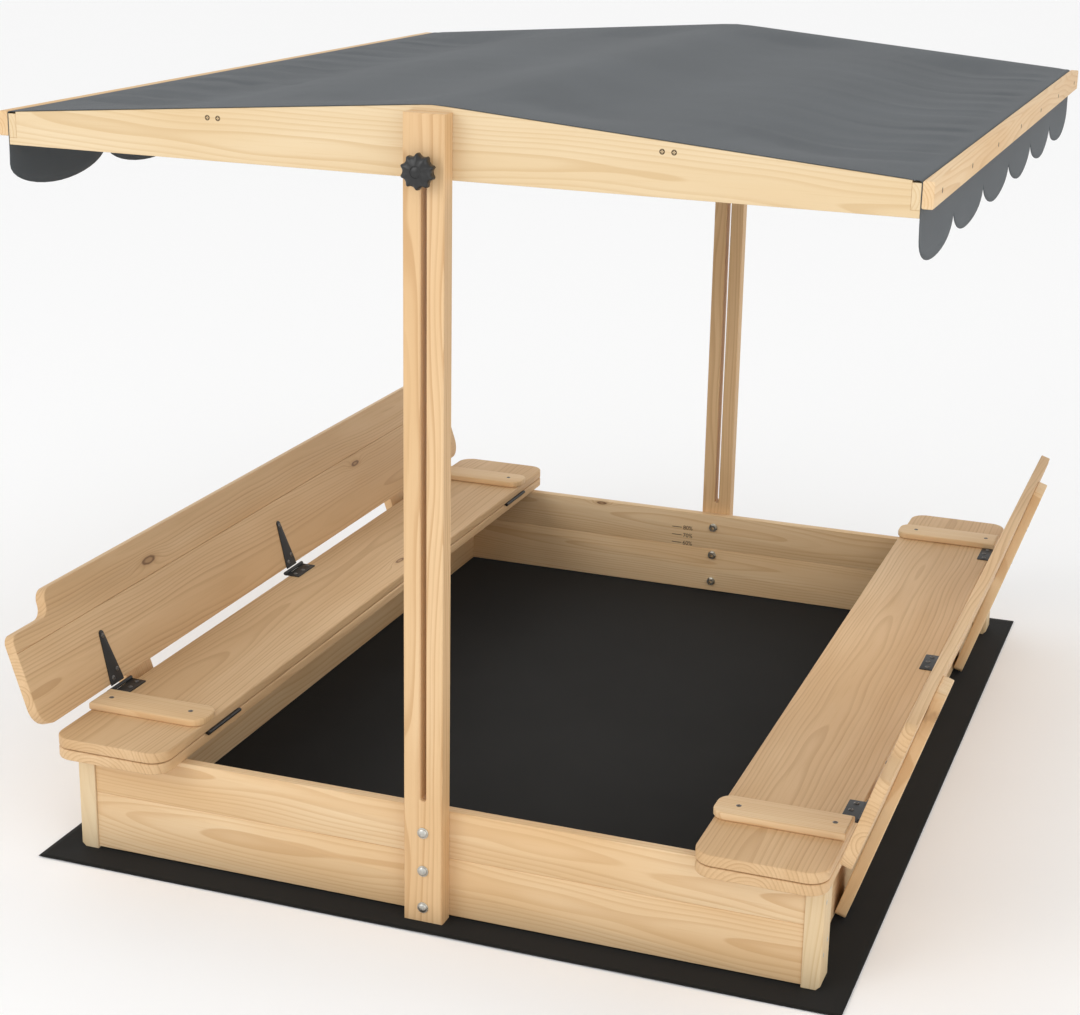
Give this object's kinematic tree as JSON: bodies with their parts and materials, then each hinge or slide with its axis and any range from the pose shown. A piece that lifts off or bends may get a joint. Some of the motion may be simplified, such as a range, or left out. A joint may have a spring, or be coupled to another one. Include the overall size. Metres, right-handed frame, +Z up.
{
  "type": "sandbox with cover",
  "caption": "Wooden sandbox with two folding bench lids, backrests, a ground liner and a height-adjustable fabric canopy on two posts.",
  "frame": {"origin": "centre of the ground footprint, under the liner", "axes": "+X across the benches, +Y along the benches away from the front panel, +Z up"},
  "size_m": [1.4076, 1.622, 1.188],
  "materials": {
    "pine board": "sanded clear pine or fir",
    "pine post": "sanded clear pine or fir",
    "black hinge": "satin black",
    "black screw": "satin black",
    "zinc steel": "bright zinc",
    "black knob": "moulded satin",
    "grey fabric": "woven polyester",
    "black liner": "non-woven sheet"
  },
  "bodies": {
    "box": {"ground_liner": "black liner", "front_lower_board": "pine board", "front_upper_board": "pine board", "rear_lower_board": "pine board", "rear_upper_board": "pine board", "left_lower_board": "pine board", "left_upper_board": "pine board", "right_lower_board": "pine board", "right_upper_board": "pine board", "corner_battens": "pine board", "box_screws": "zinc steel", "front_post": "pine post", "rear_post": "pine post", "post_bolts": "zinc steel", "post_nuts": "zinc steel", "left_fixed_bench_board": "pine board", "right_fixed_bench_board": "pine board", "butt_hinge_fixed_leaves": "black hinge", "butt_hinge_pins": "black hinge"},
    "clamp": {"front_clamp_bolt": "zinc steel", "rear_clamp_bolt": "zinc steel", "clamp_washers": "zinc steel"},
    "canopy": {"front_gable_board": "pine board", "rear_gable_board": "pine board", "ridge_bar": "pine board", "left_purlin": "pine board", "right_purlin": "pine board", "left_end_rail": "pine board", "right_end_rail": "pine board", "left_eave_batten": "pine board", "right_eave_batten": "pine board", "roof_fabric": "grey fabric", "left_valance": "grey fabric", "right_valance": "grey fabric", "canopy_screws": "zinc steel"},
    "front_clamp_knob": {"front_knob": "black knob"},
    "rear_clamp_knob": {"rear_knob": "black knob"},
    "left_seat": {"left_seat_board": "pine board", "left_seat_cleats": "pine board", "left_seat_screws": "black screw", "left_butt_hinge_leaves": "black hinge", "left_tee_hinge_butts": "black hinge", "left_tee_hinge_pins": "black hinge"},
    "right_seat": {"right_seat_board": "pine board", "right_seat_cleats": "pine board", "right_seat_screws": "black screw", "right_butt_hinge_leaves": "black hinge", "right_tee_hinge_butts": "black hinge", "right_tee_hinge_pins": "black hinge"},
    "left_back": {"left_back_lower_board": "pine board", "left_back_upper_board": "pine board", "left_back_legs": "pine board", "left_tee_hinge_straps": "black hinge", "left_back_screws": "black screw"},
    "right_back": {"right_back_lower_board": "pine board", "right_back_upper_board": "pine board", "right_back_legs": "pine board", "right_tee_hinge_straps": "black hinge", "right_back_screws": "black screw"}
  },
  "joints": [
    {"name": "canopy_height", "type": "slide", "parent": "box", "child": "clamp", "axis": [0, 0, 1], "range_m": [-0.25, 0]},
    {"name": "canopy_tilt", "type": "hinge", "parent": "clamp", "child": "canopy", "pos_m": [0, 0, 1.106], "axis": [0, 1, 0], "range_deg": [-25, 25]},
    {"name": "front_knob_turn", "type": "hinge", "parent": "clamp", "child": "front_clamp_knob", "pos_m": [0, -0.79, 1.106], "axis": [0, -1, 0], "continuous": true},
    {"name": "rear_knob_turn", "type": "hinge", "parent": "clamp", "child": "rear_clamp_knob", "pos_m": [0, 0.79, 1.106], "axis": [0, 1, 0], "continuous": true},
    {"name": "left_seat_flip", "type": "hinge", "parent": "box", "child": "left_seat", "pos_m": [-0.4065, 0, 0.1899], "axis": [0, 1, 0], "range_deg": [0, 180]},
    {"name": "left_back_fold", "type": "hinge", "parent": "left_seat", "child": "left_back", "pos_m": [-0.607, 0, 0.2106], "axis": [0, -1, 0], "range_deg": [0, 71.73]},
    {"name": "right_seat_flip", "type": "hinge", "parent": "box", "child": "right_seat", "pos_m": [0.4065, 0, 0.1899], "axis": [0, -1, 0], "range_deg": [0, 180]},
    {"name": "right_back_fold", "type": "hinge", "parent": "right_seat", "child": "right_back", "pos_m": [0.607, 0, 0.2106], "axis": [0, 1, 0], "range_deg": [0, 71.73]}
  ],
  "couplings": [
    {"joint": "left_back_fold", "follows": "left_seat_flip", "ratio": 0.39852},
    {"joint": "right_back_fold", "follows": "right_seat_flip", "ratio": 0.39852}
  ]
}
